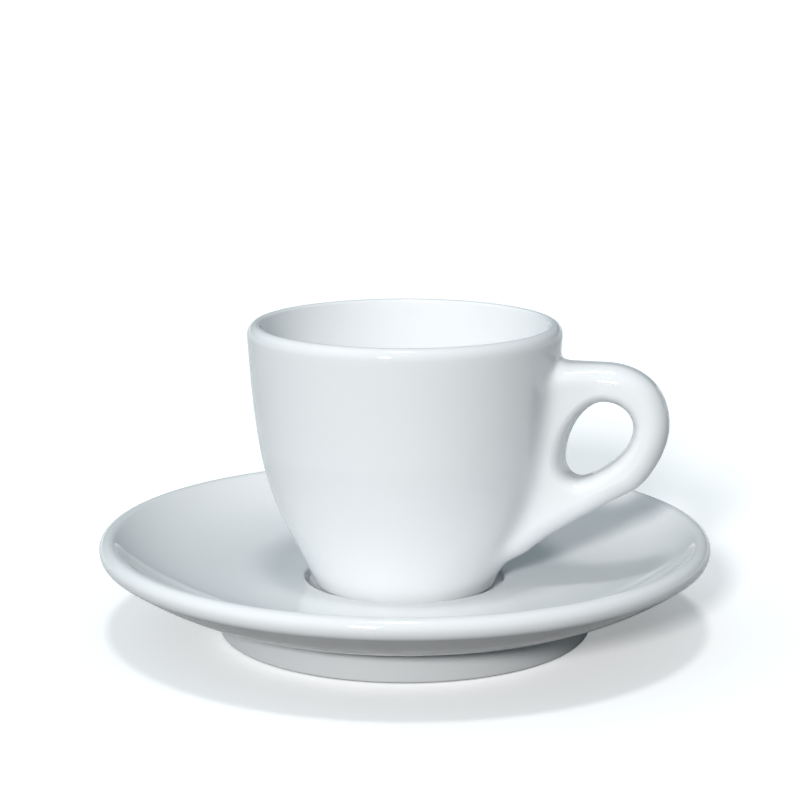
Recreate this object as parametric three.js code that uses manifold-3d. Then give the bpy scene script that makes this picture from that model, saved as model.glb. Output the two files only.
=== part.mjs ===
// Espresso cup standing on its saucer. Millimetres, +Z up.
// The origin is the middle of the saucer's foot, on the table, and the handle points along +X.
import * as THREE from "three";
import { mergeVertices } from "three/addons/utils/BufferGeometryUtils.js";
import Module from "manifold-3d";

const wasm = await Module();
wasm.setup();

// Fits between pieces
const seatGap = 0.1; // between the cup's foot and the saucer's well
const slipGap = 0.35; // slip joint between the handle and the cup wall

// Saucer
const saucerRadius = 60;
const saucerRimRound = 1.9; // radius of the rounded rim
const saucerRimLevel = 17.5; // height of the rim's widest point
const saucerRimTurn = THREE.MathUtils.degToRad(50); // how far the rounding goes on below that point
const dishSlope = THREE.MathUtils.degToRad(40); // steepness of the dish next to the rim
const dishStart = 0.4 * saucerRadius; // radius at which the dish begins to rise
const dishPull = 0.35 * saucerRadius; // how long it stays nearly level from there
const dishTurn = 0.12 * saucerRadius; // how long it stays steep next to the rim
const dishFloor = 10.4; // height of the flat ring around the well
const wellFloor = 8.8; // height of the seat for the cup
const wellRadius = 19.6;
const wellBlend = 1.2; // width of the soft step into the well
const undersideStart = 5.95; // height at which the underside leaves the foot ring
const undersideRise = 0.34; // slope of the underside next to the foot ring
const undersidePull = 0.45; // share of the underside's width that keeps near that slope
const undersideTurn = 0.5; // share of its width in which it bends up to the rim
const saucerFootTop = 38.5; // outer radius of the foot ring at the underside
const saucerFootOuter = 36.4; // outer radius of the foot ring just above the table
const saucerFootFlat = 2.4; // width of the flat resting face
const saucerFootEdge = 0.7; // rounding of the resting face's two edges
const saucerFootInner = 31.4; // inner radius of the foot ring at the ceiling
const saucerCeiling = 4.4; // height of the hollow under the saucer
const saucerSegments = 64;

// Cup, with heights above its own foot
const cupSeat = wellFloor + seatGap; // height at which the cup stands
const lipRadius = 30.6; // outer radius at the lip's widest point
const lipLevel = 50; // height of the lip's widest point
const lipOut = 1.7; // width of the lip's outer rounding
const lipRise = 2.2; // height of that rounding
const lipIn = 0.8; // width of the tighter rounding inside
const lipFall = 0.6; // height of that rounding
const lipMiddle = lipRadius - lipOut; // radius of the lip's highest point
const lipTop = lipLevel + lipRise;
const bellyRise = 1.2; // height of the wall's lower end, above the rounded foot
const bellyFoot = at(0.594 * lipRadius, bellyRise);
const bellyPull = at(0.795 * lipRadius, 0.3215 * lipLevel); // draws the wall outwards above the foot
const bellySide = at(0.938 * lipRadius, 0.3015 * lipLevel); // draws the wall upright below the lip
const cupFootEdge = 1.65; // width of the rounding outside the flat foot ring
const cupFootFlat = 2.4; // width of the flat ring on which the cup stands
const cupFootDepth = 1.5; // depth of the hollow inside the foot ring
const cupFootSlope = 1.4; // width of the slope into that hollow
const bowlFloor = 7.6; // height of the lowest point inside the cup
const bowlSide = at(0.813 * lipRadius, 0.424 * lipLevel); // keeps the inner wall upright
const bowlCorner = at(0.667 * lipRadius, bowlFloor); // rounds the inner wall into the floor
const cupSegments = 64;

// Handle, in the plane of the radius and the height above the cup's foot
const handleOut = 21; // reach beyond the lip
const handleDrop = 4.35; // top of the handle below the lip's widest point
const handleReach = lipRadius + handleOut;
const handleTop = lipLevel - handleDrop;
const handleReachLevel = 0.735 * handleTop; // height of the outermost point
const handleShoulder = handleReach - 0.604 * handleOut; // where the top starts to turn down
const shoulderRound = 0.61; // fullness of the turn from the outermost point to the top
const handleElbow = at(handleReach - 0.307 * handleOut, 0.4624 * handleTop); // start of the lower arm
const elbowRound = 0.4; // fullness of the turn from the outermost point to the lower arm
const loopThickness = 6.75; // of the loop at its outermost point
const topThickness = 7.3; // of the loop at its top
const handleWidth = 9.4;
const handleRound = 0.44 * loopThickness; // how far the rounding reaches in from each outline
const handleFlat = 0.36 * handleWidth; // straight part of the width between the two rounded sides
const neckRise = 1.95; // how far the top runs up the wall, and out along the handle
const heelLevel = 0.1025 * handleTop; // height at which the lower arm's underside runs out on the wall
const heelOut = 5; // distance from the wall at which the lower arm turns straight
const heelRise = 3.6; // height that it gains there
const armArch = 1; // how far the lower arm's underside is drawn up from straight
const armArchShare = 0.4; // where along the arm it is drawn up
const rootFlare = 2.2; // spread of the root over the wall on either side, and its height
const rootBottom = 0.1767 * handleTop; // lower end of the spread root
const buried = 2 * handleRound; // how far the handle's outline runs on inside the cup

// Finger hole, egg-shaped, by its four outermost points
const holeTop = at(handleReach - 0.585 * handleOut, handleTop - topThickness);
const holeRight = at(handleReach - loopThickness, handleReachLevel);
const holeBottom = at(handleReach - 0.815 * handleOut, 0.505 * handleTop);
const holeLeft = at(handleReach - 0.952 * handleOut, 0.5823 * handleTop);
const holeRound = 0.56; // fullness of its rounder ends
const holeUpper = 0.44; // fullness of the long side next to the cup
const holeCrown = 0.52; // fullness of that side's upper end
const holeLower = 0.21; // fullness of the long side above the lower arm

// A point of radius and height.
function at(radius, height) {
  return new THREE.Vector2(radius, height);
}

// Turns a profile of radius and height about the upright axis, without the points that repeat.
function turned(profile, segments) {
  const points = profile.filter((point, i) => i === 0 || !point.equals(profile[i - 1]));
  return new THREE.LatheGeometry(points, segments).rotateX(Math.PI / 2);
}

// A geometry as a closed solid that can be joined and cut.
function solidOf(geometry) {
  geometry.deleteAttribute("normal");
  geometry.deleteAttribute("uv");
  const merged = mergeVertices(geometry, 1e-3);
  return new wasm.Manifold(
    new wasm.Mesh({
      numProp: 3,
      vertProperties: merged.attributes.position.array,
      triVerts: new Uint32Array(merged.index.array),
    }),
  );
}

// A joined or cut solid as a geometry.
function geometryOf(solid) {
  const { vertProperties, triVerts } = solid.getMesh();
  const geometry = new THREE.BufferGeometry();
  geometry.setAttribute("position", new THREE.BufferAttribute(vertProperties, 3));
  geometry.setIndex(new THREE.BufferAttribute(triVerts, 1));
  geometry.computeVertexNormals();
  return geometry;
}

// A glazed porcelain piece.
function porcelain(name, geometry) {
  const material = new THREE.MeshStandardMaterial({
    color: 0xe9eced,
    roughness: 0.15,
    metalness: 0,
  });
  const mesh = new THREE.Mesh(geometry, material);
  mesh.name = name;
  return mesh;
}

// Foot ring of the saucer, from the hollow under it to the start of the underside.
function saucerFoot() {
  const flatOuter = saucerFootOuter - saucerFootEdge;
  const flatInner = flatOuter - saucerFootFlat;
  return [
    at(saucerFootInner - saucerFootEdge, saucerCeiling),
    at(saucerFootInner + saucerFootEdge / 2, saucerCeiling - saucerFootEdge),
    at(flatInner - saucerFootEdge / 2, saucerFootEdge),
    at(flatInner, 0),
    at(flatOuter, 0),
    at(saucerFootOuter, saucerFootEdge),
  ];
}

// The rim's rounding, from its lower end over the top to the edge of the dish.
function saucerRim() {
  return new THREE.EllipseCurve(
    saucerRadius - saucerRimRound,
    saucerRimLevel,
    saucerRimRound,
    saucerRimRound,
    -saucerRimTurn,
    Math.PI / 2 + dishSlope,
  );
}

// Underside of the saucer, from the foot ring out and up into the rim's rounding.
function saucerUnderside() {
  const end = saucerRim().getPoint(0);
  const width = end.x - saucerFootTop;
  const pull = width * undersidePull;
  const rimward = at(Math.sin(saucerRimTurn), Math.cos(saucerRimTurn));
  return new THREE.CubicBezierCurve(
    at(saucerFootTop, undersideStart),
    at(saucerFootTop + pull, undersideStart + pull * undersideRise),
    end.clone().addScaledVector(rimward, -width * undersideTurn),
    end,
  );
}

// The dish, from the rim down to the flat ring around the well.
function saucerDish() {
  const edge = saucerRim().getPoint(1);
  const rimward = at(Math.cos(dishSlope), Math.sin(dishSlope));
  return new THREE.CubicBezierCurve(
    edge,
    edge.clone().addScaledVector(rimward, -dishTurn),
    at(dishStart + dishPull, dishFloor),
    at(dishStart, dishFloor),
  );
}

// The saucer: foot ring, underside, round rim, hollow dish, and the well at its middle.
function saucer() {
  const wellStep = new THREE.CubicBezierCurve(
    at(wellRadius + wellBlend / 2, dishFloor),
    at(wellRadius, dishFloor),
    at(wellRadius, wellFloor),
    at(wellRadius - wellBlend / 2, wellFloor),
  );
  const profile = [
    at(0, saucerCeiling),
    ...saucerFoot(),
    ...saucerUnderside().getPoints(7),
    ...saucerRim().getPoints(9),
    ...saucerDish().getPoints(9),
    ...wellStep.getPoints(4),
    at(0, wellFloor),
  ];
  return porcelain("saucer", turned(profile, saucerSegments));
}

// The cup's outer wall, from the foot to the lip.
function wallCurve() {
  return new THREE.CubicBezierCurve(bellyFoot, bellyPull, bellySide, at(lipRadius, lipLevel));
}

// Radius of the outer wall at a height, which stays the lip's above the wall.
function wallRadius(level) {
  const above = wallCurve()
    .getPoints(200)
    .find((point) => point.y >= level);
  return above ? above.x : lipRadius;
}

// The inside of the cup, from the lip down to the middle of its floor.
function bowlCurve() {
  const innerLip = at(lipMiddle - lipIn, lipTop - lipFall);
  return new THREE.CubicBezierCurve(innerLip, bowlSide, bowlCorner, at(0, bowlFloor));
}

// The cup: foot ring, outer wall, round lip and the bowl inside.
function cupBody() {
  const runIn = bellyPull.clone().sub(bellyFoot);
  const flatOuter = bellyFoot.x - cupFootEdge;
  const flatInner = flatOuter - cupFootFlat;
  const footEdge = new THREE.QuadraticBezierCurve(
    at(flatOuter, 0),
    at(bellyFoot.x - (bellyFoot.y * runIn.x) / runIn.y, 0),
    bellyFoot,
  );
  const outerLip = new THREE.EllipseCurve(lipMiddle, lipLevel, lipOut, lipRise, 0, Math.PI / 2);
  const innerLip = new THREE.EllipseCurve(
    lipMiddle,
    lipTop - lipFall,
    lipIn,
    lipFall,
    Math.PI / 2,
    Math.PI,
  );
  const profile = [
    at(0, cupFootDepth),
    at(flatInner - cupFootSlope, cupFootDepth),
    at(flatInner, 0),
    ...footEdge.getPoints(3),
    ...wallCurve().getPoints(10),
    ...outerLip.getPoints(5),
    ...innerLip.getPoints(4),
    ...bowlCurve().getPoints(11),
  ];
  return porcelain("cup_body", turned(profile, cupSegments));
}

// Everything inside the cup's outer wall, grown by the slip joint, for cutting the handle's root.
function wallCutter() {
  const wall = wallCurve()
    .getPoints(10)
    .map((point) => at(point.x + slipGap, point.y));
  const below = -buried;
  const above = handleTop + neckRise + 2 * buried;
  const profile = [
    at(0, below),
    at(wall[0].x, below),
    ...wall,
    at(wall.at(-1).x, above),
    at(0, above),
  ];
  return solidOf(turned(profile, cupSegments));
}

// Adds a quarter round to a path, between an outermost point in radius and one in height.
// The two shares say how full the curve is at its start and at its end.
function quarterTo(path, end, startsLevel, startShare, endShare) {
  const start = path.currentPoint.clone();
  const run = end.clone().sub(start);
  const first = startsLevel ? at(startShare * run.x, 0) : at(0, startShare * run.y);
  const last = startsLevel ? at(0, endShare * run.y) : at(endShare * run.x, 0);
  const leave = start.add(first);
  const arrive = end.clone().sub(last);
  path.bezierCurveTo(leave.x, leave.y, arrive.x, arrive.y, end.x, end.y);
}

// The egg-shaped finger hole.
function fingerHole() {
  const hole = new THREE.Path();
  hole.moveTo(holeTop.x, holeTop.y);
  quarterTo(hole, holeLeft, true, holeCrown, holeUpper);
  quarterTo(hole, holeBottom, false, holeRound, holeRound);
  quarterTo(hole, holeRight, true, holeLower, holeRound);
  quarterTo(hole, holeTop, false, holeRound, holeRound);
  return hole;
}

// Outline of the loop: flat top, round outer end, straight lower arm running down to the wall.
// Its inner end lies inside the cup, clear of the rounding, and is cut away.
function loopShape() {
  const heel = at(wallRadius(heelLevel), heelLevel);
  const neck = at(wallRadius(handleTop + neckRise), handleTop + neckRise);
  const armEnd = at(heel.x + heelOut, heel.y + heelRise);
  const along = handleElbow.clone().sub(armEnd).normalize();
  const armRunOut = armEnd.clone().addScaledVector(along, -handleRound);
  const elbowPull = handleElbow.clone().addScaledVector(along, handleRound);
  const drawnUp = at(-armArch * along.y, armArch * along.x);
  const arch = armEnd.clone().lerp(handleElbow, armArchShare).add(drawnUp);

  const shape = new THREE.Shape();
  shape.moveTo(heel.x - 2 * buried, neck.y + buried);
  shape.lineTo(heel.x - 2 * buried, heel.y - buried);
  shape.lineTo(heel.x - handleRound, heel.y - buried);
  shape.lineTo(heel.x, heel.y);
  shape.bezierCurveTo(
    heel.x + handleRound / 5,
    heel.y + handleRound / 2,
    armRunOut.x,
    armRunOut.y,
    armEnd.x,
    armEnd.y,
  );
  shape.quadraticCurveTo(arch.x, arch.y, handleElbow.x, handleElbow.y);
  shape.bezierCurveTo(
    elbowPull.x,
    elbowPull.y,
    handleReach,
    handleReachLevel - elbowRound * (handleReachLevel - handleElbow.y),
    handleReach,
    handleReachLevel,
  );
  quarterTo(shape, at(handleShoulder, handleTop), false, shoulderRound, shoulderRound);
  shape.lineTo(neck.x + neckRise, handleTop);
  shape.quadraticCurveTo(neck.x, handleTop, neck.x, neck.y);
  shape.lineTo(neck.x - handleRound / 2, neck.y + buried);
  shape.closePath();
  shape.holes.push(fingerHole());
  return shape;
}

// The loop as a plate that is rounded over at both outlines.
function loopSolid() {
  const geometry = new THREE.ExtrudeGeometry(loopShape(), {
    depth: handleFlat,
    bevelThickness: (handleWidth - handleFlat) / 2,
    bevelSize: handleRound,
    bevelOffset: -handleRound,
    bevelSegments: 5,
    curveSegments: 8,
  });
  return solidOf(geometry.translate(0, 0, -handleFlat / 2).rotateX(Math.PI / 2));
}

// The spread root: a hollow-sided ridge that runs up the wall under the loop.
function rootSolid() {
  const foot = handleWidth / 2 + rootFlare;
  const crest = (handleWidth - rootFlare) / 2;
  const section = new THREE.Shape();
  section.moveTo(foot, -rootFlare);
  section.lineTo(foot, -rootFlare / 3);
  section.quadraticCurveTo(crest + rootFlare / 2, 0, crest, rootFlare);
  section.lineTo(-crest, rootFlare);
  section.quadraticCurveTo(-crest - rootFlare / 2, 0, -foot, -rootFlare / 3);
  section.lineTo(-foot, -rootFlare);
  section.closePath();
  const upWall = wallCurve()
    .getPoints(40)
    .filter((point) => point.y > rootBottom && point.y < handleTop)
    .map((point) => new THREE.Vector3(point.x, 0, point.y));
  const geometry = new THREE.ExtrudeGeometry(section, {
    steps: 14,
    curveSegments: 5,
    bevelEnabled: false,
    extrudePath: new THREE.CatmullRomCurve3(upWall),
  });
  return solidOf(geometry);
}

// The handle: loop and spread root, cut to fit the cup wall.
function cupHandle() {
  const whole = loopSolid().add(rootSolid());
  return porcelain("cup_handle", geometryOf(whole.subtract(wallCutter())));
}

const cup = new THREE.Group();
cup.add(cupBody(), cupHandle());
cup.position.z = cupSeat;

const group = new THREE.Group();
group.add(saucer(), cup);
export default group;
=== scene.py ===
# %% [markdown]
# # An espresso cup on its saucer
# Three pieces of white porcelain make this object: a saucer, the cup that stands in the
# saucer's well, and the pierced ear handle that is stuck to the cup before firing.
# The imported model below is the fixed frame. It gives the size and the place of every piece,
# and the pieces that are made here stand in for its plain solids.

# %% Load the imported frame
import math

import bmesh
import bpy
import numpy as np
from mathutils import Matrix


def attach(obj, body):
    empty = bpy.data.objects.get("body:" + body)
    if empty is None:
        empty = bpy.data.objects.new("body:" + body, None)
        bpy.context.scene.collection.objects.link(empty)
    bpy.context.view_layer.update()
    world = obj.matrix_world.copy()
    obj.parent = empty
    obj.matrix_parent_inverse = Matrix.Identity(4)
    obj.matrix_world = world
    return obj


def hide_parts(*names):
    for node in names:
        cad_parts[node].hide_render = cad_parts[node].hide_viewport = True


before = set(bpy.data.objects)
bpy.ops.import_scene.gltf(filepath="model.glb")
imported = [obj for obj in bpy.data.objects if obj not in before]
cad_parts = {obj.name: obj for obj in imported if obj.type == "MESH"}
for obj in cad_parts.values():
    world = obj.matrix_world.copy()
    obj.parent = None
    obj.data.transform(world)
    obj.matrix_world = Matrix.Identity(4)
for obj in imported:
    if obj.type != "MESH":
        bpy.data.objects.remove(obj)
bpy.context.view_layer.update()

MM = 0.001  # the pieces' sizes are written in millimetres, and Blender works in metres
scene = bpy.context.scene

# %% [markdown]
# ## Camera
# The cup is seen from a little above its lip, and from a little to the side of its handle.
# A camera could be pushed about by eye until the picture looks right. Here its distance, height
# and pitch are worked out instead: they are those at which the round rims, which look like
# ellipses, have the same width and height as in the picture.

# %% Camera
VIEW_TURN = math.radians(12.0)  # round from the front, towards the handle
VIEW_PITCH = math.radians(11.63)  # down from level
VIEW_NUDGE = math.radians(0.13)  # puts the cup's axis a little right of the middle
VIEW_DISTANCE = 0.4149  # from the cup's axis, along the floor, in metres
VIEW_HEIGHT = 0.131
SENSOR_WIDTH = 36.0
FOCAL_LENGTH = 97.5

camera_data = bpy.data.cameras.new("studio_camera")
camera_data.sensor_width = SENSOR_WIDTH
camera_data.lens = FOCAL_LENGTH
camera = bpy.data.objects.new("studio_camera", camera_data)
camera.location = (
    VIEW_DISTANCE * math.sin(VIEW_TURN),
    -VIEW_DISTANCE * math.cos(VIEW_TURN),
    VIEW_HEIGHT,
)
camera.rotation_euler = (math.pi / 2 - VIEW_PITCH, 0.0, VIEW_TURN + VIEW_NUDGE)
scene.collection.objects.link(camera)
scene.camera = camera
scene.view_settings.view_transform = "Standard"
print("camera at", [round(v, 4) for v in camera.location])

# %% [markdown]
# ## Floor
# The set stands on a plain, pale table top. A small plane would do for one picture, but its edge
# would show from a low seat, so a very wide disc is used. It runs out of the picture on all sides.

# %% Floor
FLOOR_RADIUS = 30.0  # in metres
FLOOR_SIDES = 96


def add_object(name, mesh):
    made = bpy.data.objects.new(name, mesh)
    scene.collection.objects.link(made)
    return made


floor_mesh = bpy.data.meshes.new("floor")
floor_bm = bmesh.new()
bmesh.ops.create_circle(floor_bm, cap_ends=True, segments=FLOOR_SIDES, radius=FLOOR_RADIUS)
floor_bm.to_mesh(floor_mesh)
floor_bm.free()
floor = add_object("floor", floor_mesh)
print("floor: a disc of", 2 * FLOOR_RADIUS, "m across")

# %% [markdown]
# In the picture the paper under the saucer is pure white. More light would do that, but it would
# burn out the white cup as well. So the paper has a faint glow of its own, and a Light Path node
# keeps the glow for rays that come straight from the camera. A mirror ray finds the white paper
# without the glow. Soft light that bounces finds dark paper, because the underside of the real
# saucer gets very little light from below.

# %% White paper for the floor
FLOOR_WHITE = (0.95, 0.95, 0.95, 1.0)  # the paper as it is seen
FLOOR_BOUNCE = (0.05, 0.05, 0.05, 1.0)  # the paper as soft bounced light finds it
FLOOR_LIFT = 0.3  # strength of the glow, just enough for pure white outside the shadow


def node(tree, kind, links=(), **settings):
    """Adds a node. A link's source is another node's socket, or a value for the socket itself."""
    made = tree.nodes.new(kind)
    for key, value in settings.items():
        setattr(made, key, value)
    for socket, source in links:
        if isinstance(source, bpy.types.NodeSocket):
            tree.links.new(source, made.inputs[socket])
        else:
            made.inputs[socket].default_value = source
    return made


def maths(tree, operation, *values):
    """Adds a Math node and gives its result."""
    return node(tree, "ShaderNodeMath", list(enumerate(values)), operation=operation).outputs[0]


paper = bpy.data.materials.new("white_paper")
paper.use_nodes = True
paper_tree = paper.node_tree
paper_tree.nodes.clear()
ray = node(paper_tree, "ShaderNodeLightPath").outputs
straight = maths(paper_tree, "MAXIMUM", ray["Is Camera Ray"], ray["Is Transmission Ray"])
straight_or_mirrored = maths(paper_tree, "MAXIMUM", straight, ray["Is Glossy Ray"])
glow_strength = maths(paper_tree, "MULTIPLY", straight, FLOOR_LIFT)
bounced = node(paper_tree, "ShaderNodeBsdfDiffuse", [("Color", FLOOR_BOUNCE)])
white = node(paper_tree, "ShaderNodeBsdfDiffuse", [("Color", FLOOR_WHITE)])
glow = node(paper_tree, "ShaderNodeEmission", [("Color", FLOOR_WHITE), ("Strength", glow_strength)])
glowing = node(paper_tree, "ShaderNodeAddShader", [(0, white.outputs[0]), (1, glow.outputs[0])])
either = node(
    paper_tree,
    "ShaderNodeMixShader",
    [(0, straight_or_mirrored), (1, bounced.outputs[0]), (2, glowing.outputs[0])],
)
node(paper_tree, "ShaderNodeOutputMaterial", [("Surface", either.outputs[0])])
floor_mesh.materials.append(paper)
print("floor material:", paper.name)

# %% [markdown]
# ## Backdrop
# From a low seat the camera would see over the far edge of the floor. A low white wall closes
# the view there. It shines evenly, so that it is as white from all sides, and it neither lights
# the cup softly nor throws a shadow on it.

# %% Backdrop
BACKDROP_HEIGHT = 1.5  # in metres
BACKDROP_WHITE = (1.0, 1.0, 1.0, 1.0)
BACKDROP_STRENGTH = 1.0  # exactly white in the picture

floor_edge = [v.co.xy[:] for v in floor_mesh.vertices]
wall_corners = [(x, y, z) for x, y in floor_edge for z in (0.0, BACKDROP_HEIGHT)]
corner_count = len(wall_corners)
wall_panels = [
    (i, i + 1, (i + 3) % corner_count, (i + 2) % corner_count) for i in range(0, corner_count, 2)
]
backdrop_mesh = bpy.data.meshes.new("backdrop")
backdrop_mesh.from_pydata(wall_corners, [], wall_panels)
backdrop = add_object("backdrop", backdrop_mesh)
backdrop.visible_diffuse = False
backdrop.visible_shadow = False

wall_paint = bpy.data.materials.new("white_wall")
wall_paint.use_nodes = True
wall_tree = wall_paint.node_tree
wall_tree.nodes.clear()
shine = node(
    wall_tree,
    "ShaderNodeEmission",
    [("Color", BACKDROP_WHITE), ("Strength", BACKDROP_STRENGTH)],
)
node(wall_tree, "ShaderNodeOutputMaterial", [("Surface", shine.outputs[0])])
backdrop_mesh.materials.append(wall_paint)
print("backdrop:", len(wall_panels), "panels")

# %% [markdown]
# ## Light
# Two lamps light the real cup: one high above it and one low, beside the camera. Their small
# mirror images sit on the lip, on the saucer's rim and on the handle, and each lamp throws its
# own shadow of the handle on the dish. Area lamps could stand in for them, but suns with a wide
# disc light the whole table alike. A very wide, weak sun is a screen on the left, and a dim room
# fills the shadows with a little blue.

# %% Lights
ROOM_TINT = (0.74, 0.92, 1.0, 1.0)
ROOM_STRENGTH = 0.27
LAMP_WHITE = (1.0, 1.0, 1.0)
LAMPS = (
    # name, degrees round from the front, degrees above level, degrees across, strength, colour
    ("high_lamp", 3.0, 80.0, 9.0, 0.72, LAMP_WHITE),
    ("low_lamp", -3.0, 21.4, 8.0, 2.6, LAMP_WHITE),
    ("side_screen", -80.0, 30.0, 90.0, 0.45, ROOM_TINT[:3]),
)

room = bpy.data.worlds.new("studio_room")
room.use_nodes = True
scene.world = room
room_light = room.node_tree.nodes["Background"]
room_light.inputs["Color"].default_value = ROOM_TINT
room_light.inputs["Strength"].default_value = ROOM_STRENGTH

for lamp_name, round_from_front, above_level, across, strength, colour in LAMPS:
    sun = bpy.data.lights.new(lamp_name, "SUN")
    sun.energy = strength
    sun.angle = math.radians(across)
    sun.color = colour
    lamp = add_object(lamp_name, sun)
    lamp.rotation_euler = (
        math.pi / 2 - math.radians(above_level),
        0.0,
        math.radians(round_from_front),
    )

# %% [markdown]
# ## Glaze
# Porcelain is fired white clay under a clear glass glaze. The glaze is not quite level: it lies
# in very low, broad waves, and it is a touch cooler where it is thick.
# A plain glossy shader would look like plastic. Two soft noises, one for the mottling and one for
# the waves, are enough to break it. A node group holds them, so that all three pieces share them.

# %% Node group for the glaze
MOTTLE_SCALE = 90.0
MOTTLE_DETAIL = 3.0
WAVE_SCALE = 45.0
WAVE_DETAIL = 1.0
SMOOTH_GLAZE = 0.03  # roughness where the glaze lies smoothest
DULL_GLAZE = 0.07  # and where it is dullest


def new_group(name, inputs, outputs):
    group = bpy.data.node_groups.new(name, "ShaderNodeTree")
    for label, kind, value in inputs:
        socket = group.interface.new_socket(label, in_out="INPUT", socket_type=kind)
        socket.default_value = value
    for label, kind in outputs:
        group.interface.new_socket(label, in_out="OUTPUT", socket_type=kind)
    return group, group.nodes.new("NodeGroupInput"), group.nodes.new("NodeGroupOutput")


def mix_colours(tree, share, first, second):
    """A colour between two others. A Mix node keeps colours in its sockets 6, 7 and 2."""
    mixed = node(tree, "ShaderNodeMix", [(0, share), (6, first), (7, second)], data_type="RGBA")
    return mixed.outputs[2]


def glaze_skin_group():
    group, given, out = new_group(
        "glaze_skin",
        [
            ("Colour", "NodeSocketColor", (0.8, 0.8, 0.8, 1.0)),
            ("Thick Colour", "NodeSocketColor", (0.75, 0.78, 0.8, 1.0)),
            ("Mottle Scale", "NodeSocketFloat", MOTTLE_SCALE),
            ("Wave Scale", "NodeSocketFloat", WAVE_SCALE),
            ("Smooth", "NodeSocketFloat", SMOOTH_GLAZE),
            ("Dull", "NodeSocketFloat", DULL_GLAZE),
        ],
        [
            ("Colour", "NodeSocketColor"),
            ("Roughness", "NodeSocketFloat"),
            ("Height", "NodeSocketFloat"),
        ],
    )
    place = node(group, "ShaderNodeTexCoord").outputs["Object"]
    mottle = node(
        group,
        "ShaderNodeTexNoise",
        [("Vector", place), ("Scale", given.outputs["Mottle Scale"]), ("Detail", MOTTLE_DETAIL)],
    )
    wave = node(
        group,
        "ShaderNodeTexNoise",
        [("Vector", place), ("Scale", given.outputs["Wave Scale"]), ("Detail", WAVE_DETAIL)],
    )
    roughness = node(
        group,
        "ShaderNodeMapRange",
        [
            ("Value", mottle.outputs["Fac"]),
            ("To Min", given.outputs["Smooth"]),
            ("To Max", given.outputs["Dull"]),
        ],
    )
    thick, thin = given.outputs["Thick Colour"], given.outputs["Colour"]
    group.links.new(mix_colours(group, mottle.outputs["Fac"], thick, thin), out.inputs["Colour"])
    group.links.new(roughness.outputs["Result"], out.inputs["Roughness"])
    group.links.new(wave.outputs["Fac"], out.inputs["Height"])
    return group


glaze_skin = glaze_skin_group()
print("node group:", glaze_skin.name)

# %% [markdown]
# ## Bare foot
# A piece that stands on its glaze would stick to the shelf in the kiln, so the glaze is wiped off
# the ring on which it stands. The bare clay there is a little darker, warmer and quite matt.
# The ring could have a material of its own, but then the edge of the glaze would be as sharp as a
# face. A mask by height is softer: it is one at the level of the foot and fades out just above.

# %% Node group for the bare foot
BARE_FADE = 0.3 * MM


def bare_foot_group():
    group, given, out = new_group(
        "bare_foot",
        [("Level", "NodeSocketFloat", 0.0), ("Fade", "NodeSocketFloat", BARE_FADE)],
        [("Mask", "NodeSocketFloat")],
    )
    place = node(group, "ShaderNodeTexCoord").outputs["Object"]
    height = node(group, "ShaderNodeSeparateXYZ", [(0, place)])
    mask = node(
        group,
        "ShaderNodeMapRange",
        [
            ("Value", height.outputs["Z"]),
            ("From Min", given.outputs["Level"]),
            ("From Max", maths(group, "ADD", given.outputs["Level"], given.outputs["Fade"])),
            ("To Min", 1.0),
            ("To Max", 0.0),
        ],
    )
    group.links.new(mask.outputs["Result"], out.inputs["Mask"])
    return group


bare_foot = bare_foot_group()
print("node group:", bare_foot.name)

# %% [markdown]
# ## Three glazes
# The three pieces come from the same glaze bath, but each has its own material, as in the packed
# model, so that one can be changed alone. The saucer's and the cup's also take the bare foot, each
# at the level of its own ring. The handle stands on nothing and is glazed all over.

# %% Three glazes
WHITE = (0.82, 0.825, 0.83, 1.0)
COOL = (0.80, 0.81, 0.82, 1.0)
GLAZE_IOR = 1.5
WAVE_STRENGTH = 0.05
WAVE_DEPTH = 0.2 * MM
BARE_CLAY = (0.66, 0.64, 0.6, 1.0)
BARE_ROUGHNESS = 0.75
SAUCER_FOOT_LEVEL = 0.0
CUP_FOOT_LEVEL = 8.9  # the cup stands in the saucer's well


def glaze_material(name, colour, thick_colour):
    material = bpy.data.materials.new(name)
    material.use_nodes = True
    tree = material.node_tree
    shader = tree.nodes["Principled BSDF"]
    shader.inputs["IOR"].default_value = GLAZE_IOR
    skin = node(
        tree,
        "ShaderNodeGroup",
        [("Colour", colour), ("Thick Colour", thick_colour)],
        node_tree=glaze_skin,
    )
    bump = node(
        tree,
        "ShaderNodeBump",
        [("Height", skin.outputs["Height"]), ("Strength", WAVE_STRENGTH), ("Distance", WAVE_DEPTH)],
    )
    tree.links.new(skin.outputs["Colour"], shader.inputs["Base Color"])
    tree.links.new(skin.outputs["Roughness"], shader.inputs["Roughness"])
    tree.links.new(bump.outputs["Normal"], shader.inputs["Normal"])
    return material


def mix_numbers(tree, share, first, second):
    """A number between two others. A Mix node keeps numbers in its sockets 2, 3 and 0."""
    return node(tree, "ShaderNodeMix", [(0, share), (2, first), (3, second)]).outputs[0]


def bare_the_foot(material, level):
    """Wipes the glaze off the ring at a level, in millimetres, on which a piece stands."""
    tree = material.node_tree
    shader = tree.nodes["Principled BSDF"]
    mask = node(tree, "ShaderNodeGroup", [("Level", level * MM)], node_tree=bare_foot).outputs["Mask"]
    glaze_colour = shader.inputs["Base Color"].links[0].from_socket
    glaze_roughness = shader.inputs["Roughness"].links[0].from_socket
    colour = mix_colours(tree, mask, glaze_colour, BARE_CLAY)
    roughness = mix_numbers(tree, mask, glaze_roughness, BARE_ROUGHNESS)
    tree.links.new(colour, shader.inputs["Base Color"])
    tree.links.new(roughness, shader.inputs["Roughness"])


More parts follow.
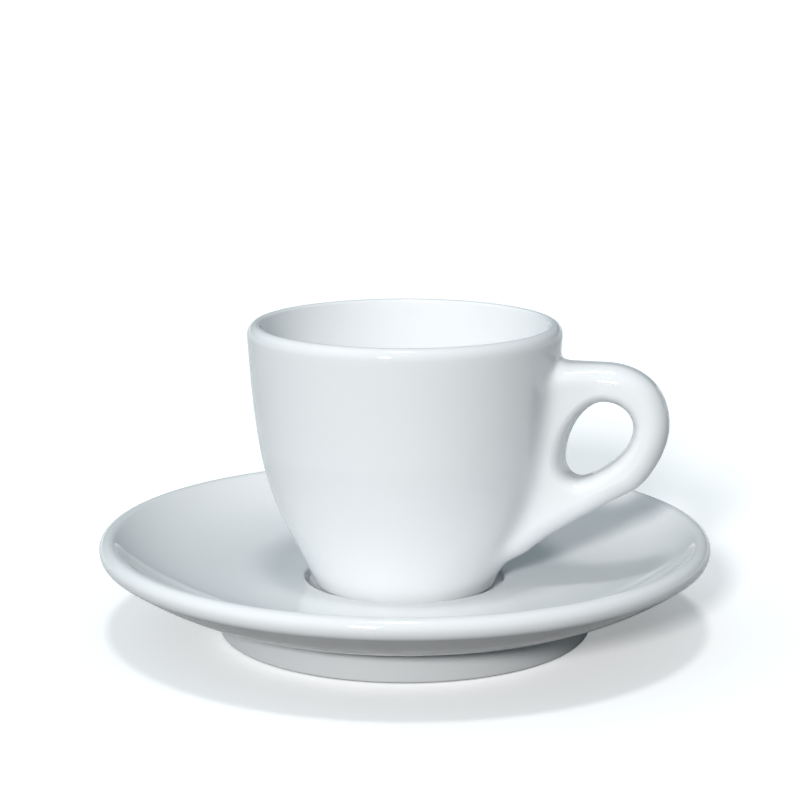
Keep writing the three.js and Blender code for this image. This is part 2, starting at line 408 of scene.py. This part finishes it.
saucer_glaze = glaze_material("saucer_glaze", WHITE, COOL)
cup_glaze = glaze_material("cup_glaze", WHITE, COOL)
handle_glaze = glaze_material("handle_glaze", WHITE, COOL)
bare_the_foot(saucer_glaze, SAUCER_FOOT_LEVEL)
bare_the_foot(cup_glaze, CUP_FOOT_LEVEL)
print("glazes:", [m.name for m in (saucer_glaze, cup_glaze, handle_glaze)])

# %% [markdown]
# ## Turned pieces
# A cup and a saucer are made on a wheel: a flat profile is turned about an upright axis.
# The Screw modifier or the Spin tool could do the same. A small Geometry Nodes tree is used here,
# because both pieces share it and it sets the material too. It rolls up a flat grid: one direction
# of the grid follows the points of the profile, and the other goes once round the axis.

# %% Geometry Nodes tree that turns a profile
SEGMENTS = 256  # steps once round the axis
SAME_PLACE = 1e-6  # points closer than this, in metres, are one point


def turned_piece_tree():
    tree = bpy.data.node_groups.new("turned_piece", "GeometryNodeTree")
    new_socket = tree.interface.new_socket
    new_socket("Profile", in_out="INPUT", socket_type="NodeSocketGeometry")
    new_socket("Segments", in_out="INPUT", socket_type="NodeSocketInt").default_value = SEGMENTS
    new_socket("Glaze", in_out="INPUT", socket_type="NodeSocketMaterial")
    new_socket("Piece", in_out="OUTPUT", socket_type="NodeSocketGeometry")
    given = tree.nodes.new("NodeGroupInput")
    out = tree.nodes.new("NodeGroupOutput")

    # The grid is 1 by 1 about its middle, with a row for each point of the profile.
    count = node(tree, "GeometryNodeAttributeDomainSize", [(0, given.outputs["Profile"])])
    rows = count.outputs["Point Count"]
    columns = maths(tree, "ADD", given.outputs["Segments"], 1.0)
    grid = node(
        tree,
        "GeometryNodeMeshGrid",
        [("Size X", 1.0), ("Size Y", 1.0), ("Vertices X", rows), ("Vertices Y", columns)],
    )
    here = node(tree, "GeometryNodeInputPosition").outputs[0]
    spot = node(tree, "ShaderNodeSeparateXYZ", [(0, here)])

    # A grid point's X tells which point of the profile it takes.
    last_row = maths(tree, "SUBTRACT", rows, 1.0)
    share = maths(tree, "ADD", spot.outputs["X"], 0.5)
    row = maths(tree, "ROUND", maths(tree, "MULTIPLY", share, last_row))
    on_profile = node(
        tree,
        "GeometryNodeSampleIndex",
        [("Geometry", given.outputs["Profile"]), ("Value", here), ("Index", row)],
        data_type="FLOAT_VECTOR",
    )

    # Its Y tells how far that point is turned about the axis.
    angle = maths(tree, "MULTIPLY", spot.outputs["Y"], -2.0 * math.pi)
    turned = node(
        tree,
        "ShaderNodeVectorRotate",
        [("Vector", on_profile.outputs["Value"]), ("Angle", angle)],
        rotation_type="Z_AXIS",
    )
    placed = node(
        tree,
        "GeometryNodeSetPosition",
        [("Geometry", grid.outputs["Mesh"]), ("Position", turned.outputs[0])],
    )

    # Merging closes the seam and the two poles.
    closed = node(
        tree,
        "GeometryNodeMergeByDistance",
        [("Geometry", placed.outputs[0]), ("Distance", SAME_PLACE)],
    )
    smooth = node(tree, "GeometryNodeSetShadeSmooth", [(0, closed.outputs[0])])
    real = node(tree, "GeometryNodeRealizeInstances", [(0, smooth.outputs[0])])
    glazed = node(
        tree,
        "GeometryNodeSetMaterial",
        [("Geometry", real.outputs[0]), ("Material", given.outputs["Glaze"])],
    )
    tree.links.new(glazed.outputs[0], out.inputs["Piece"])
    return tree


turned_piece = turned_piece_tree()
print("Geometry Nodes tree:", turned_piece.name, "with", len(turned_piece.nodes), "nodes")

# %% [markdown]
# ## Saucer
# The saucer stands on a foot ring. Its underside sweeps out and up to a round rim, its dish runs
# down in one long curve, and a shallow well in the middle keeps the cup from sliding.
# A sculpted mesh could have this shape too, but a profile of arcs and Bezier curves keeps each size
# as one number. Its points are a radius and a height, in millimetres.
# The rim comes first, because both the underside and the dish end in it.

# %% Rim of the saucer
SAUCER_RADIUS = 60.0
RIM_LEVEL = 17.5  # height of the rim's widest point
RIM_ROUND = 1.9  # rounding above that point
RIM_UNDER = (1.9, 2.3)  # rounding below that point, across and down
RIM_TURN = 60.0  # how far the lower rounding goes, in degrees
DISH_SLOPE = 40.0  # how steeply the dish falls next to the rim, in degrees


def arc(centre, radius, start, end, steps):
    """Points along a round or oval arc, angles in degrees, without its first point."""
    angle = np.radians(np.linspace(start, end, steps + 1)[1:])
    return np.asarray(centre) + np.multiply(radius, np.column_stack((np.cos(angle), np.sin(angle))))


rim_middle = np.array((SAUCER_RADIUS - RIM_ROUND, RIM_LEVEL))
rim_under = arc(rim_middle, RIM_UNDER, -RIM_TURN, 0.0, steps=14)
rim = arc(rim_middle, RIM_ROUND, 0.0, 90.0 + DISH_SLOPE, steps=30)
print("rim:", len(rim_under) + len(rim), "points, top at", round(rim[:, 1].max(), 2), "mm")

# %% [markdown]
# The foot ring is a straight-sided path whose corners were softened by the potter's sponge, so its
# corners are cut and rounded. The underside leaves it at a gentle slope and bends up into the rim.

# %% Foot ring and underside of the saucer
SAUCER_CEILING = 4.4  # height of the hollow inside the foot ring
CEILING_FLAT = 12.0  # a point on the way across that hollow
SAUCER_FOOT = [(31.4, SAUCER_CEILING), (33.1, SAUCER_FOOT_LEVEL), (36.6, SAUCER_FOOT_LEVEL)]
SAUCER_FOOT_EDGE = 0.7  # length that the rounding takes off each side of a corner
UNDERSIDE_START = (38.6, 6.35)
UNDERSIDE_AIM = (44.0, 8.21)  # the first stretch of the underside points here
UNDERSIDE_RISE = 0.345  # slope of that stretch
UNDERSIDE_PULL = 0.23  # share of the underside's width that keeps near that slope
UNDERSIDE_TURN = 0.66  # share of its width in which it bends up to the rim


def bezier(points, steps):
    """Points along a Bezier curve of any degree, without its first point."""
    share = np.linspace(0.0, 1.0, steps + 1)[1:, None]
    layer = [np.asarray(p, float)[None, :] for p in points]
    while len(layer) > 1:
        layer = [a + (b - a) * share for a, b in zip(layer, layer[1:])]
    return layer[0]


def rounded(corners, cut, steps):
    """A straight-sided path with its inner corners rounded off, starting and ending at its ends."""
    corners = np.asarray(corners, float)
    path = [corners[:1]]
    for before, corner, after in zip(corners, corners[1:], corners[2:]):
        lead = (before - corner) / np.linalg.norm(before - corner)
        leave = (after - corner) / np.linalg.norm(after - corner)
        start, end = corner + lead * cut, corner + leave * cut
        path += [start[None, :], bezier((start, corner, end), steps)]
    return np.vstack(path + [corners[-1:]])


foot_corners = [(CEILING_FLAT, SAUCER_CEILING), *SAUCER_FOOT, UNDERSIDE_START, UNDERSIDE_AIM]
saucer_foot = rounded(foot_corners, SAUCER_FOOT_EDGE, steps=8)[:-1]

turn_down = math.radians(RIM_TURN)
rim_start = rim_middle + np.multiply(RIM_UNDER, (math.cos(turn_down), -math.sin(turn_down)))
rimward = np.multiply(RIM_UNDER, (math.sin(turn_down), math.cos(turn_down)))
rimward /= np.linalg.norm(rimward)
underside_width = rim_start[0] - UNDERSIDE_START[0]
pull = np.multiply(underside_width * UNDERSIDE_PULL, (1.0, UNDERSIDE_RISE))
underside = bezier(
    (
        saucer_foot[-1],
        np.add(UNDERSIDE_START, pull),
        rim_start - underside_width * UNDERSIDE_TURN * rimward,
        rim_start,
    ),
    steps=44,
)
print("underside:", round(underside_width, 2), "mm wide,", len(underside), "points")

# %% [markdown]
# The dish is one Bezier curve, steep at the rim and level at the bottom. A soft step leads down
# into the well. The step is small, but it throws the thin shadow round the cup's foot.

# %% Dish and well of the saucer
DISH_FLOOR = 10.4  # height of the dish at its bottom
DISH_START = 24.0  # radius at which the dish begins to rise
DISH_PULL = 21.0  # how far out the dish stays low
DISH_TURN = 7.2  # how far it keeps the slope that it has at the rim
WELL_FLOOR = 8.8
WELL_RADIUS = 19.6
WELL_BLEND = 1.2  # width of the soft step
WELL_FLAT = 10.0  # a point on the way across the well's floor

slope = math.radians(DISH_SLOPE)
dish_side = rim[-1] - DISH_TURN * np.array((math.cos(slope), math.sin(slope)))
dish_bottom = (DISH_START + DISH_PULL, DISH_FLOOR)
dish = bezier((rim[-1], dish_side, dish_bottom, (DISH_START, DISH_FLOOR)), steps=56)
well_outer = (WELL_RADIUS + WELL_BLEND / 2, DISH_FLOOR)
well_inner = (WELL_RADIUS - WELL_BLEND / 2, WELL_FLOOR)
well_step = bezier(
    (well_outer, (WELL_RADIUS, DISH_FLOOR), (WELL_RADIUS, WELL_FLOOR), well_inner), steps=12
)
print("well:", round(DISH_FLOOR - WELL_FLOOR, 2), "mm deep,", 2 * WELL_RADIUS, "mm across")

# %% [markdown]
# Now the profile is put together from the middle of the underside, round the rim and back to the
# middle of the well, and it is turned. new_from_object makes a plain mesh of what the tree gives,
# and the flat profile with its modifier is thrown away.

# %% Turn the saucer
def turn(name, profile, glaze):
    """Turns a profile of radius and height, in millimetres, into a closed mesh piece."""
    mesh = bpy.data.meshes.new(name + "_profile")
    points = [(r * MM, 0.0, z * MM) for r, z in profile]
    mesh.from_pydata(points, [(i, i + 1) for i in range(len(points) - 1)], [])
    blank = add_object(name + "_blank", mesh)
    turning = blank.modifiers.new("turned_piece", "NODES")
    turning.node_group = turned_piece
    sockets = {s.name: s.identifier for s in turned_piece.interface.items_tree}
    turning[sockets["Segments"]] = SEGMENTS
    turning[sockets["Glaze"]] = glaze
    graph = bpy.context.evaluated_depsgraph_get()
    made = bpy.data.meshes.new_from_object(blank.evaluated_get(graph), depsgraph=graph)
    made.name = name
    bpy.data.objects.remove(blank)
    bpy.data.meshes.remove(mesh)
    print(name, "turned:", len(profile), "profile points,", len(made.polygons), "faces")
    return add_object(name, made)


saucer_profile = np.vstack(
    [
        (0.0, SAUCER_CEILING),
        saucer_foot,
        underside,
        rim_under,
        rim,
        dish,
        well_outer,
        well_step,
        (WELL_FLAT, WELL_FLOOR),
        (0.0, WELL_FLOOR),
    ]
)
saucer = turn("saucer_glazed", saucer_profile, saucer_glaze)

# %% [markdown]
# ## Cup
# The wall is thick and leans out from a narrow foot to a full, round lip. It is turned as the
# saucer is, from a profile that starts under the foot and ends on the floor of the bowl.
# Heights are measured from the plane that the cup stands on. The curves of the wall and of the bowl
# are shares of the lip's radius and height, so a wider or taller cup keeps its form.

# %% Outside of the cup
LIP_RADIUS = 30.6
LIP_LEVEL = 50.0  # height of the lip's widest point
BELLY_FOOT = (0.594 * LIP_RADIUS, 1.2)  # where the wall leaves the foot
BELLY_PULL = (0.795 * LIP_RADIUS, 0.3215 * LIP_LEVEL)
BELLY_SIDE = (0.938 * LIP_RADIUS, 0.3015 * LIP_LEVEL)
CUP_FOOT_EDGE = 1.65  # width of the rounding round the foot
CUP_FOOT_FLAT = 2.4  # width of the ring that the cup stands on
CUP_FOOT_SLOPE = 1.4  # width of the slope inside that ring
CUP_FOOT_DEPTH = 1.5  # height of the hollow inside it
CUP_FOOT_ROUND = 0.5


def wall_curve(steps):
    return bezier((BELLY_FOOT, BELLY_PULL, BELLY_SIDE, (LIP_RADIUS, LIP_LEVEL)), steps)


flat_outer = BELLY_FOOT[0] - CUP_FOOT_EDGE
flat_inner = flat_outer - CUP_FOOT_FLAT
cup_hollow = rounded(
    [
        (0.0, CUP_FOOT_DEPTH),
        (flat_inner - CUP_FOOT_SLOPE, CUP_FOOT_DEPTH),
        (flat_inner, 0.0),
        (flat_outer, 0.0),
    ],
    CUP_FOOT_ROUND,
    steps=5,
)
wall_slant = (BELLY_PULL[0] - BELLY_FOOT[0]) / (BELLY_PULL[1] - BELLY_FOOT[1])
foot_corner = (BELLY_FOOT[0] - BELLY_FOOT[1] * wall_slant, 0.0)
cup_foot = bezier(((flat_outer, 0.0), foot_corner, BELLY_FOOT), steps=12)
cup_wall = wall_curve(76)
print("cup foot:", round(2 * flat_outer, 2), "mm across its standing ring")

# %% [markdown]
# The lip is what the mouth touches, so it is fully rounded: a large oval outside and a small one
# inside, which meet at the top. Two arcs make it without a corner. From there one Bezier curve
# runs down the inside and levels out on the floor of the bowl.

# %% Lip and bowl of the cup
LIP_OUTER = (1.7, 2.2)  # rounding outside, across and up
LIP_INNER = (0.8, 0.6)  # rounding inside, across and up
BOWL_FLOOR = 7.6
BOWL_SIDE = (0.813 * LIP_RADIUS, 0.424 * LIP_LEVEL)
BOWL_CORNER = (0.667 * LIP_RADIUS, BOWL_FLOOR)

lip_middle = LIP_RADIUS - LIP_OUTER[0]
lip_fall = LIP_LEVEL + LIP_OUTER[1] - LIP_INNER[1]
outer_lip = arc((lip_middle, LIP_LEVEL), LIP_OUTER, 0.0, 90.0, steps=20)
inner_lip = arc((lip_middle, lip_fall), LIP_INNER, 90.0, 180.0, steps=14)
bowl = bezier((inner_lip[-1], BOWL_SIDE, BOWL_CORNER, (0.0, BOWL_FLOOR)), steps=70)

cup_profile = np.vstack([cup_hollow, cup_foot, cup_wall, outer_lip, inner_lip, bowl])
cup = turn("cup_glazed", cup_profile + (0.0, CUP_FOOT_LEVEL), cup_glaze)

# %% [markdown]
# ## Handle
# The ear handle is a rounded plate with an egg-shaped finger hole. Wet clay was smoothed into
# both corners where it meets the wall, so it grows out of the cup without an edge.
# A bevelled curve or a subdivided cage would show where it is joined. A field of distances makes
# such a soft join well: two fields, one for the plate and one for the wall, are melted together,
# and the surface is read off where the melted field is zero.
# First come the outlines in the plane of the handle: the loop from its lower arm round to the top,
# and the hole. The loop's left side is hidden in the cup, so it is simply straight.

# %% Outline of the loop
HANDLE_OUT = 21.0  # how far the loop stands out from the lip
LIP_TO_HANDLE = 4.35
HANDLE_TOP = LIP_LEVEL - LIP_TO_HANDLE
HANDLE_REACH = LIP_RADIUS + HANDLE_OUT
REACH_LEVEL = 0.735 * HANDLE_TOP  # height of the loop's outermost point
SHOULDER = HANDLE_REACH - 0.604 * HANDLE_OUT  # radius at which the top begins to fall
SHOULDER_ROUND = 0.61
ELBOW = (HANDLE_REACH - 0.307 * HANDLE_OUT, 0.4624 * HANDLE_TOP)
ELBOW_ROUND = 0.4
ELBOW_LEAD = 3.0  # how far the elbow keeps the arm's direction
ARM_END = (24.9, 8.3)  # where the lower arm meets the wall
ARM_LEAD = 2.0
ARM_ARCH = 1.0  # how far the arm's underside is drawn up from straight
ARCH_PLACE = 0.4  # share of the arm's length at which it is drawn up
TAIL_START = (20.0, 7.2)  # inside the wall, where the arm runs out
TAIL_PULL = (21.8, 7.2)
HIDDEN_END = 8.0  # radius of the straight side inside the cup


def quarter(start, end, starts_level, start_share, end_share, steps):
    """A quarter round between an outermost point in radius and one in height."""
    start, end = np.asarray(start, float), np.asarray(end, float)
    run = end - start
    level, upright = np.array((1.0, 0.0)), np.array((0.0, 1.0))
    first, last = (level, upright) if starts_level else (upright, level)
    return bezier((start, start + first * run * start_share, end - last * run * end_share, end), steps)


reach = np.array((HANDLE_REACH, REACH_LEVEL))
arm = np.subtract(ELBOW, ARM_END)
along_arm = arm / np.linalg.norm(arm)
off_arm = np.array((-along_arm[1], along_arm[0]))
arch = np.add(ARM_END, ARCH_PLACE * arm) + ARM_ARCH * off_arm
elbow_pull = np.add(ELBOW, along_arm * ELBOW_LEAD)
reach_pull = (HANDLE_REACH, REACH_LEVEL - ELBOW_ROUND * (REACH_LEVEL - ELBOW[1]))
loop_outline = np.vstack(
    [
        [(HIDDEN_END, HANDLE_TOP), (HIDDEN_END, TAIL_START[1]), TAIL_START],
        bezier((TAIL_START, TAIL_PULL, np.subtract(ARM_END, along_arm * ARM_LEAD), ARM_END), steps=40),
        bezier((ARM_END, arch, ELBOW), steps=90),
        bezier((ELBOW, elbow_pull, reach_pull, reach), steps=90),
        quarter(reach, (SHOULDER, HANDLE_TOP), False, SHOULDER_ROUND, SHOULDER_ROUND, steps=140),
    ]
)
print("loop:", len(loop_outline), "points, reaching", round(HANDLE_REACH, 2), "mm from the axis")

# %% [markdown]
# The hole is an egg that leans towards the wall. Four quarter rounds make it, between its highest,
# leftmost, lowest and rightmost points. A quarter's share tells how full the curve is: 0.55 is
# nearly a circle, and less is more pointed.

# %% Outline of the finger hole
LOOP_THICKNESS = 6.75  # clay outside the hole, on the right
TOP_THICKNESS = 7.3  # clay above the hole
HOLE_TOP = (HANDLE_REACH - 0.585 * HANDLE_OUT, HANDLE_TOP - TOP_THICKNESS)
HOLE_RIGHT = (HANDLE_REACH - LOOP_THICKNESS, REACH_LEVEL)
HOLE_BOTTOM = (HANDLE_REACH - 0.815 * HANDLE_OUT, 0.505 * HANDLE_TOP)
HOLE_LEFT = (HANDLE_REACH - 0.952 * HANDLE_OUT, 0.5823 * HANDLE_TOP)
HOLE_ROUND = 0.56
HOLE_CROWN = 0.52  # fullness on the upper left, at the top
HOLE_UPPER = 0.44  # and at the left
HOLE_LOWER = 0.21  # fullness at the lower right, at the bottom

hole_outline = np.vstack(
    [
        quarter(HOLE_TOP, HOLE_LEFT, True, HOLE_CROWN, HOLE_UPPER, steps=90),
        quarter(HOLE_LEFT, HOLE_BOTTOM, False, HOLE_ROUND, HOLE_ROUND, steps=50),
        quarter(HOLE_BOTTOM, HOLE_RIGHT, True, HOLE_LOWER, HOLE_ROUND, steps=90),
        quarter(HOLE_RIGHT, HOLE_TOP, False, HOLE_ROUND, HOLE_ROUND, steps=70),
    ]
)
print("hole:", [round(float(size), 2) for size in np.ptp(hole_outline, axis=0)], "mm wide and high")

# %% [markdown]
# How deep does a point of the plane lie inside the clay? The nearest point of each outline tells.
# The slope of the depth is kept too, because it gives the surface its smooth normals later.
# Normals are blended from corner to corner, so the short straight pieces of an outline don't show.

# %% Depth inside the outlines
HOLE_TIGHT = 1.66  # the rounding towards the hole is this much tighter
BATCH = 4096  # points that are measured at one time, to keep the tables small
SMALL = 1e-12


def outline_distance(x, z, outline):
    """Distance to a closed outline in the handle's plane, less than zero inside it, and its slope."""
    run = np.roll(outline, -1, axis=0) - outline
    length = np.maximum((run**2).sum(1), SMALL)
    facing = np.column_stack((run[:, 1], -run[:, 0])) / np.sqrt(length)[:, None]
    facing = facing + np.roll(facing, 1, axis=0)
    distance = np.empty(len(x))
    slope = np.empty((len(x), 2))
    for first in range(0, len(x), BATCH):
        part = slice(first, first + BATCH)
        px, pz = x[part, None] - outline[:, 0], z[part, None] - outline[:, 1]
        share = np.clip((px * run[:, 0] + pz * run[:, 1]) / length, 0.0, 1.0)
        gap = (px - share * run[:, 0]) ** 2 + (pz - share * run[:, 1]) ** 2
        best = gap.argmin(1)
        row = np.arange(len(best))
        along = share[row, best][:, None]
        normal = facing[best] * (1.0 - along) + facing[(best + 1) % len(outline)] * along
        normal /= np.linalg.norm(normal, axis=1)[:, None]
        away = np.column_stack((px[row, best], pz[row, best])) - along * run[best]
        outside = (away * normal).sum(1) > 0.0
        distance[part] = np.sqrt(gap[row, best]) * np.where(outside, 1.0, -1.0)
        slope[part] = normal
    return distance, slope


def plate_depth(x, z):
    """How far a point of the handle's plane lies inside the loop, and the slope of that depth."""
    outer, outer_slope = outline_distance(x, z, loop_outline)
    hole, hole_slope = outline_distance(x, z, hole_outline)
    in_hole = -hole > outer
    depth = np.where(in_hole, hole * HOLE_TIGHT, -outer)
    return depth, np.where(in_hole[:, None], hole_slope * HOLE_TIGHT, -outer_slope)


middle_depth = plate_depth(np.array([HANDLE_REACH - LOOP_THICKNESS / 2]), np.array([REACH_LEVEL]))[0]
print("depth in the middle of the loop:", round(float(middle_depth[0]), 2), "mm")

# %% [markdown]
# The plate is the depth given a thickness: its edges are rounded over in quarter ellipses, as a
# thumb leaves them. The wall is the cup's own curve. Near the wall the plate flares out, and the two
# are melted together: the lower arm and the sides over a long way, and the neck on top over a short
# one. The melted clay is cut off just inside the wall, where nobody sees it.

# %% Plate melted into the wall
HANDLE_HALF = 4.7  # half of the plate's thickness
ROOT_FLARE = 1.7  # how much that half grows at the wall
FLARE_REACH = 9.0  # how far from the wall it begins to grow
EDGE_ROUND = 3.7  # rounding of the edges, in the plane of the plate
ACROSS_SHARE = 0.83  # rounding across the plate, as a share of its half
NECK_MELT = 2.0  # width of the melt above the hole
HEEL_MELT = 7.0  # and under the lower arm
SIDE_MELT = 6.0  # and on the two sides
MELT_DEPTHS = (-2.0, 5.0)  # depths between which the sides' melt takes over
MELT_HEIGHTS = (12.0, 36.0)  # heights between which the neck's melt takes over
UNDER_GLAZE = 0.006  # the melt runs out this far under the cup's surface
ROOT_DEPTH = 1.2  # how far the root goes into the wall
ROOT_MARGIN = 0.1
ROOT_END = 1.5  # height at which the root ends, above the cup's foot
SMALL_SIZE = 1e-6
LEAST_STEEPNESS = 0.05

wall_points = wall_curve(600)
wall_lean = np.gradient(wall_points[:, 0], wall_points[:, 1])


def soft_step(value, low, high):
    share = np.clip((value - low) / (high - low), 0.0, 1.0)
    return share * share * (3.0 - 2.0 * share)


def plate_field(depth, y, half):
    """Distance to the plate, whose edges are rounded off in quarter ellipses."""
    round_across = ACROSS_SHARE * half
    edge = np.maximum(EDGE_ROUND - depth, 0.0) / EDGE_ROUND
    across = np.maximum(np.abs(y) - (half - round_across), 0.0) / round_across
    size = np.maximum(np.hypot(edge, across), SMALL_SIZE)
    steepness = np.hypot(edge / EDGE_ROUND, across / round_across) / size
    return (size - 1.0) / np.maximum(steepness, LEAST_STEEPNESS)


def wall_field(x, y, z):
    """Distance to the cup's outer wall, less than zero inside the cup."""
    radius = np.interp(z, wall_points[:, 1], wall_points[:, 0])
    return (np.hypot(x, y) - radius) / np.hypot(1.0, np.interp(z, wall_points[:, 1], wall_lean))


def handle_field(x, y, z, depth):
    """The plate melted into the wall, and cut off a little way inside the wall."""
    wall = wall_field(x, y, z)
    half = HANDLE_HALF + ROOT_FLARE * (1.0 - soft_step(wall, 0.0, FLARE_REACH))
    plate = plate_field(depth, y, half)
    outline_melt = HEEL_MELT + (NECK_MELT - HEEL_MELT) * soft_step(z, *MELT_HEIGHTS)
    melt = outline_melt + (SIDE_MELT - outline_melt) * soft_step(depth, *MELT_DEPTHS)
    under = wall + UNDER_GLAZE
    near = np.maximum(melt - np.abs(plate - under), 0.0) / melt
    melted = np.minimum(plate, under) - near**3 * melt / 6.0  # a soft minimum of the two fields
    beyond_root = np.maximum(plate - melt - ROOT_MARGIN, ROOT_END - z)
    return np.maximum(np.maximum(melted, -wall - ROOT_DEPTH), beyond_root)


middle_field = handle_field(HANDLE_REACH - LOOP_THICKNESS / 2, 0.0, REACH_LEVEL, middle_depth)
print("field in the middle of the loop:", round(float(middle_field[0]), 2), "mm")

# %% [markdown]
# A net of four-sided faces is thrown over the field. The field is sampled on a grid of small cubes.
# A cube gets a point where the surface passes through it, and each grid edge that the surface
# crosses gets a face between the four cubes round it. Marching cubes would do too, but its thin
# triangles shade less evenly than these squares.

# %% Net over the handle
GRID = 0.42  # side of a cube
HANDLE_LOW = np.array((9.0, -14.0, -1.0))
HANDLE_HIGH = np.array((53.0, 14.0, 52.0))


def crossings(field):
    """For each cube, the sum of the places where its edges cross the surface, and their number."""
    cells = tuple(n - 1 for n in field.shape)
    total = np.zeros(cells + (3,))
    count = np.zeros(cells)
    for axis in range(3):
        others = [i for i in range(3) if i != axis]
        for shift in ((0, 0), (0, 1), (1, 0), (1, 1)):
            low = [slice(0, n) for n in cells]
            for other, by in zip(others, shift):
                low[other] = slice(by, cells[other] + by)
            high = list(low)
            high[axis] = slice(1, cells[axis] + 1)
            a, b = field[tuple(low)], field[tuple(high)]
            crossed = (a < 0) != (b < 0)
            total[..., axis] += np.where(crossed, a / np.where(crossed, a - b, 1.0), 0.0)
            for other, by in zip(others, shift):
                total[..., other] += by * crossed
            count += crossed
    return total, count


def faces_across(field, number):
    """A face across each crossed grid edge, between the numbered points of the four cubes round it."""
    cells = number.shape
    faces = []
    for axis in range(3):
        u, v = [i for i in range(3) if i != axis]
        behind = [slice(1, n) for n in cells]
        behind[axis] = slice(0, cells[axis])
        ahead = list(behind)
        ahead[axis] = slice(1, cells[axis] + 1)
        a, b = field[tuple(behind)] < 0, field[tuple(ahead)] < 0
        at = np.argwhere(a != b) + [0 if i == axis else 1 for i in range(3)]
        ring = []
        for du, dv in ((1, 1), (0, 1), (0, 0), (1, 0)):
            cell = at.copy()
            cell[:, u] -= du
            cell[:, v] -= dv
            ring.append(number[tuple(cell.T)])
        quads = np.column_stack(ring)
        turned_round = b[a != b] != (axis == 1)
        quads[turned_round] = quads[turned_round][:, ::-1]
        faces.append(quads)
    return np.vstack(faces)


def surface_net(field):
    total, count = crossings(field)
    active = count > 0
    number = np.full(active.shape, -1)
    number[active] = np.arange(active.sum())
    corners = np.argwhere(active) + total[active] / count[active][:, None]
    return corners, faces_across(field, number)


axes = [np.arange(low, high, GRID) for low, high in zip(HANDLE_LOW, HANDLE_HIGH)]
flat_x, flat_z = (g.ravel() for g in np.meshgrid(axes[0], axes[2], indexing="ij"))
grid_depth = plate_depth(flat_x, flat_z)[0].reshape(len(axes[0]), 1, len(axes[2]))
grid_x, grid_y, grid_z = np.meshgrid(*axes, indexing="ij")
grid_field = handle_field(grid_x, grid_y, grid_z, np.broadcast_to(grid_depth, grid_x.shape))
net_corners, handle_faces = surface_net(grid_field)
net_points = HANDLE_LOW + net_corners * GRID
print("net:", len(net_points), "points,", len(handle_faces), "faces")

# %% [markdown]
# The raw net is a little uneven. In a few rounds each point moves towards the mean of its neighbours
# and is then put back on the surface: the field tells how far off it is, and the field's slope tells
# which way to go. The slope is also the exact normal, so it is given to the mesh for its shading.

# %% Handle
ROUNDS = 4
EVENING = 0.6  # share of the way to the neighbours' mean
LEAST_SLOPE = 0.2  # keeps a step short where the field is nearly flat


def field_and_slope(points, step=0.01):
    """The field at some points, and which way it grows there."""
    x, y, z = points.T
    depth, depth_slope = plate_depth(x, z)

    def growth(dx, dy, dz, deeper):
        ahead = handle_field(x + dx, y + dy, z + dz, depth + deeper)
        behind = handle_field(x - dx, y - dy, z - dz, depth - deeper)
        return (ahead - behind) / (2.0 * step)

    by_depth = growth(0.0, 0.0, 0.0, step)
    slope = np.column_stack(
        (
            growth(step, 0.0, 0.0, 0.0) + by_depth * depth_slope[:, 0],
            growth(0.0, step, 0.0, 0.0),
            growth(0.0, 0.0, step, 0.0) + by_depth * depth_slope[:, 1],
        )
    )
    return handle_field(x, y, z, depth), slope


def neighbour_mean(points, pairs):
    around = np.bincount(pairs[:, 0], minlength=len(points))
    ends = points[pairs[:, 1]]
    total = [np.bincount(pairs[:, 0], ends[:, i], len(points)) for i in range(3)]
    return np.column_stack(total) / around[:, None]


pairs = np.vstack([handle_faces[:, [i, (i + 1) % 4]] for i in range(4)])
handle_points = net_points
for _ in range(ROUNDS):
    handle_points = handle_points + EVENING * (neighbour_mean(handle_points, pairs) - handle_points)
    value, field_slope = field_and_slope(handle_points)
    steepness = np.maximum((field_slope**2).sum(1), LEAST_SLOPE)
    handle_points = handle_points - field_slope * (value / steepness)[:, None]
field_slope = field_and_slope(handle_points)[1]

handle_data = bpy.data.meshes.new("handle_glazed")
on_cup = handle_points + (0.0, 0.0, CUP_FOOT_LEVEL)
handle_data.from_pydata(on_cup * MM, [], handle_faces.tolist())
handle_data.shade_smooth()
handle_data.materials.append(handle_glaze)
normals = field_slope / np.linalg.norm(field_slope, axis=1)[:, None]
handle_data.normals_split_custom_set_from_vertices(normals.tolist())
handle = add_object("handle_glazed", handle_data)
print("handle:", len(handle_points), "points,", len(handle_faces), "faces")

# %% [markdown]
# ## Riding on the frame
# Each piece moves with the body of the solid that it stands for: the saucer stays on the table, and
# the handle is lifted with the cup. The solids themselves are left as they are and are only hidden
# behind the pieces that replace them.

# %% Ride and replace
for piece, body, solid, slot in (
    (saucer, "saucer", "saucer", "saucer_glaze"),
    (cup, "cup", "cup_body", "cup_glaze"),
    (handle, "cup", "cup_handle", "handle_glaze"),
):
    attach(piece, body)
    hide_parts(solid)
